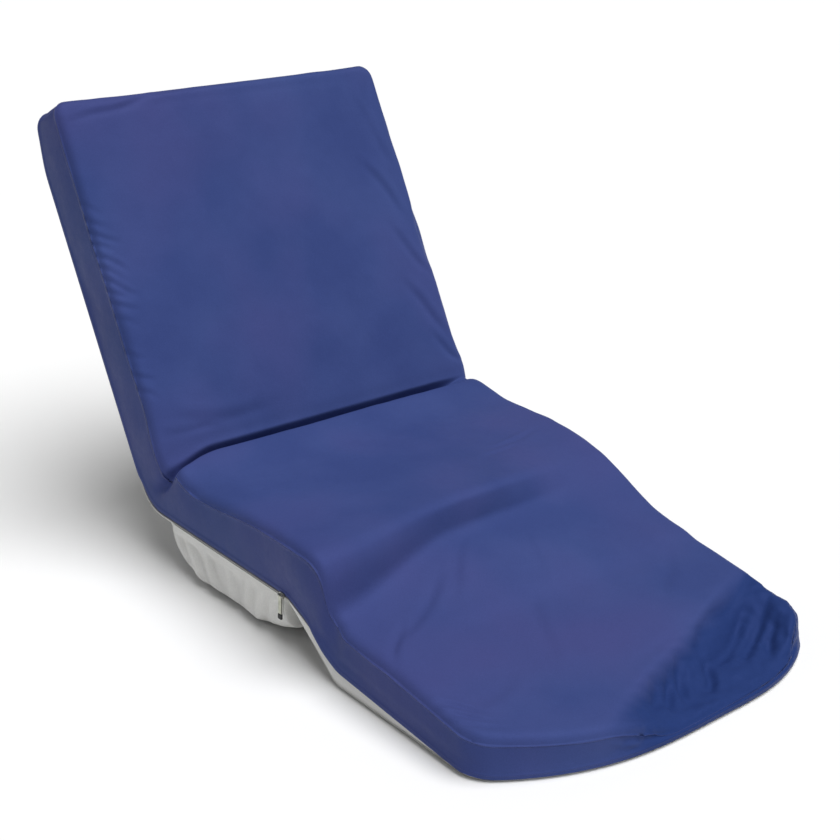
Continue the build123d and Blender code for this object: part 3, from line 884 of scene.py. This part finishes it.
def make_belly():
    """A loose bag: rows run from its back end to its front end, columns down one side and up the other."""
    turns = np.linspace(0.004, 1, 18) * pi / 2
    stations = [(BELLY_FLAT[0] - BELLY_HEEL * cos(a), SEAT_Z * sin(a)) for a in turns]
    stations += [(x, SEAT_Z) for x in np.linspace(*BELLY_FLAT, 16)[1:]]
    reach, fall = BELLY_END - BELLY_FLAT[1], SEAT_Z - BELLY_FRONT
    stations += [(BELLY_FLAT[1] + reach * t, SEAT_Z - fall * t ** 2) for t in np.linspace(0, 0.985, 18)[1:]]
    stations += [(BELLY_END, BELLY_FRONT * f) for f in (0.80, 0.55, 0.30, 0.08, 0.005)]
    points, place = [], []
    for s, deep in stations:
        shut = max(1 - smooth((s - stations[0][0]) / 0.035), 1 - smooth((deep - 0.004) / 0.045))
        half = HALF + BELLY_OUT - BELLY_TUCK * shut
        radius = min(BELLY_ROUND, deep * 0.8)
        drop = deep - radius + BELLY_SEAM
        section = [(-half, BELLY_SEAM - drop * f) for f in np.linspace(0, 1, 7)]
        section += [(-half + radius * (1 - cos(a)), -deep + radius * (1 - sin(a)))
                    for a in np.linspace(0, pi / 2, 6)[1:]]
        one_side = section[::-1]
        middle = half - radius
        section += [(-middle + 2 * middle * f, -deep) for f in np.linspace(0, 1, 61)[1:-1]]
        section += [(-y, z) for y, z in one_side]
        along = np.concatenate([[0], np.cumsum(np.hypot(*np.diff(np.array(section), axis=0).T))])
        for k, (y, z) in enumerate(section):
            points.append((BACK_X + s, y, SEAT_Z + z))
            place.append((s, min(along[k], along[-1] - along[k])))
    columns = len(points) // len(stations)
    faces = [
        (k, k + columns, k + columns + 1, k + 1)
        for i in range(len(stations) - 1) for k in range(i * columns, (i + 1) * columns - 1)
    ]
    obj = mesh_object("grey_belly", points, faces, GREY)
    remember(obj, "s", [s for s, _ in place])
    remember(obj, "down", [d for _, d in place])
    subdivide(obj)
    s, down, co = recall(obj, "s"), recall(obj, "down"), coordinates(obj)
    free = smooth((SEAT_Z - co[:, 2]) / 0.02)
    out = creases(s, down, BELLY_CREASES) + 0.0030 * swell(co, 0.11, 7) + 0.0010 * swell(co, 0.035, 8)
    out = out + 0.004 * np.sin(pi * np.clip((SEAT_Z - co[:, 2]) / SEAT_Z, 0, 1))
    co = co + normals(obj) * (out * free)[:, None]
    co[:, 2] = np.maximum(co[:, 2], FLOOR_GAP)
    move(obj, co)
    return obj


belly = make_belly()
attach(belly, "seat")
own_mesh(belly)
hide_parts("belly_cover", "seat_underpad")


# ---- Zip ----
TOOTH = (0.0012, 0.0022, 0.0034)   # along the chain, out from the cloth, and up
TOOTH_PITCH = 0.0020
TAPE_PITCH = 0.008
# The tape's section: height above the middle of the teeth, and depth inside the rim.
TAPE_SHAPE = ((-0.0070, 0.0024), (-0.0012, 0.0017), (0.0012, 0.0017), (0.0085, 0.0024))


def rim_places(pitch):
    """Evenly spaced places round the rim: s, y and the outward direction there."""
    pan = Pan(BASE_EDGE)
    ring = np.append(pan.ring, pan.ring[0])
    s, y, out = pan.s[ring], pan.y[ring], pan.outward[np.append(np.arange(len(pan.ring)), 0)]
    along = np.concatenate([[0], np.cumsum(np.hypot(np.diff(s), np.diff(y)))])
    at = np.linspace(0, along[-1], int(along[-1] / pitch) + 1)[:-1]
    return [np.interp(at, along, q) for q in (s, y, out[:, 0], out[:, 1])]


def make_teeth():
    """Interlocking teeth, each one a little block with its edges taken off."""
    length, deep, tall = TOOTH
    s, y, out_s, out_y = rim_places(TOOTH_PITCH)
    up = np.where(np.arange(len(s)) % 2 == 0, 0.0004, -0.0004)
    corners, faces = [], []
    count = len(s)
    inner = [(-1, 0, -1), (-1, 0, 1), (1, 0, 1), (1, 0, -1)]
    outer = [(-0.6, 1, -0.7), (-0.6, 1, 0.7), (0.6, 1, 0.7), (0.6, 1, -0.7)]
    for a, b, c in inner + outer:
        along, out = a * length / 2, (b - 0.55) * deep
        corners.append(np.stack([s - out_y * along + out_s * out, y + out_s * along + out_y * out,
                                 zip_line(s) + up + c * tall / 2], axis=-1))
    flat = np.concatenate(corners)
    for box in ((4, 5, 6, 7), (0, 4, 7, 3), (1, 2, 6, 5), (0, 1, 5, 4), (3, 7, 6, 2), (0, 3, 2, 1)):
        faces += [tuple(k + count * q for q in box) for k in range(count)]
    obj = mesh_object("teeth", bend(flat[:, 0], flat[:, 1], flat[:, 2]), faces, TEETH)
    remember(obj, "s", np.tile(s, 8))
    return obj


def make_tape():
    """The woven tape that carries the teeth, just inside the two cloths."""
    s, y, out_s, out_y = rim_places(TAPE_PITCH)
    rows = [bend(s - out_s * d, y - out_y * d, zip_line(s) + h) for h, d in TAPE_SHAPE]
    n = len(s)
    faces = [
        (i * n + k, i * n + (k + 1) % n, (i + 1) * n + (k + 1) % n, (i + 1) * n + k)
        for i in range(len(rows) - 1) for k in range(n)
    ]
    obj = mesh_object("tape", np.concatenate(rows), faces, TAPE)
    remember(obj, "s", np.tile(s, len(rows)))
    return obj


teeth_pieces = divide(make_teeth(), "zip_teeth")
replace_nodes(teeth_pieces, "zip_chain")
tape_pieces = divide(make_tape(), "zip_tape")
replace_nodes(tape_pieces, "zip_tapes")

# ---- CAD parts that stay ----
for name, material in (("zip_slider", SLIDER), ("zip_pull_tab", TAB), ("zip_pull_bead", GRIP)):
    mesh = frame["nodes"][name].data
    mesh.materials.clear()
    mesh.materials.append(material)


# ---- Floor, light and camera ----
FLOOR = 14                         # from the origin to each edge
WORLD_STRENGTH = 0.15
SUN_STRENGTH = 3.25
SUN_SPREAD = radians(55)
SENSOR = 36                        # millimetres, as is the lens
LENS = 69.771429
CAMERA_PLACE = (SHIN_X + 2.2005, -2.1139, 1.7212)
CAMERA_YAW = radians(-49.58)
CAMERA_PITCH = radians(22.53)      # downwards
CAMERA_ROLL = radians(1.65)


def make_stage():
    mesh = bpy.data.meshes.new("floor")
    corners = [(-FLOOR, -FLOOR, 0), (FLOOR, -FLOOR, 0), (FLOOR, FLOOR, 0), (-FLOOR, FLOOR, 0)]
    mesh.from_pydata(corners, [], [(0, 1, 2, 3)])
    floor = bpy.data.objects.new("floor", mesh)
    bpy.context.scene.collection.objects.link(floor)
    mesh.materials.append(stage_paint("floor_paint", (0.90, 0.90, 0.90)))


def make_lights():
    bpy.context.scene.view_settings.view_transform = "Standard"
    world = bpy.data.worlds.new("studio")
    bpy.context.scene.world = world
    world.use_nodes = True
    world.node_tree.nodes["Background"].inputs[0].default_value = (0.97, 0.98, 1.0, 1)
    world.node_tree.nodes["Background"].inputs[1].default_value = WORLD_STRENGTH
    light = bpy.data.lights.new("soft_key", "SUN")
    light.energy = SUN_STRENGTH
    light.angle = SUN_SPREAD
    sun = bpy.data.objects.new("soft_key", light)
    bpy.context.scene.collection.objects.link(sun)
    sun.rotation_euler = Vector((0.31, 0.12, 0.943)).to_track_quat("Z", "Y").to_euler()


def make_camera():
    flat = cos(CAMERA_PITCH)
    look = Vector((sin(CAMERA_YAW) * flat, cos(CAMERA_YAW) * flat, -sin(CAMERA_PITCH)))
    level = Vector((cos(CAMERA_YAW), -sin(CAMERA_YAW), 0))
    above = level.cross(look)
    right = level * cos(CAMERA_ROLL) + above * sin(CAMERA_ROLL)
    up = above * cos(CAMERA_ROLL) - level * sin(CAMERA_ROLL)
    data = bpy.data.cameras.new("camera")
    data.sensor_width = SENSOR
    data.lens = LENS
    cam = bpy.data.objects.new("camera", data)
    bpy.context.scene.collection.objects.link(cam)
    cam.matrix_world = Matrix((
        (right.x, up.x, -look.x, CAMERA_PLACE[0]),
        (right.y, up.y, -look.y, CAMERA_PLACE[1]),
        (right.z, up.z, -look.z, CAMERA_PLACE[2]),
        (0, 0, 0, 1),
    ))
    data.clip_start, data.clip_end = 0.05, 60
    bpy.context.scene.camera = cam


make_stage()
make_lights()
make_camera()
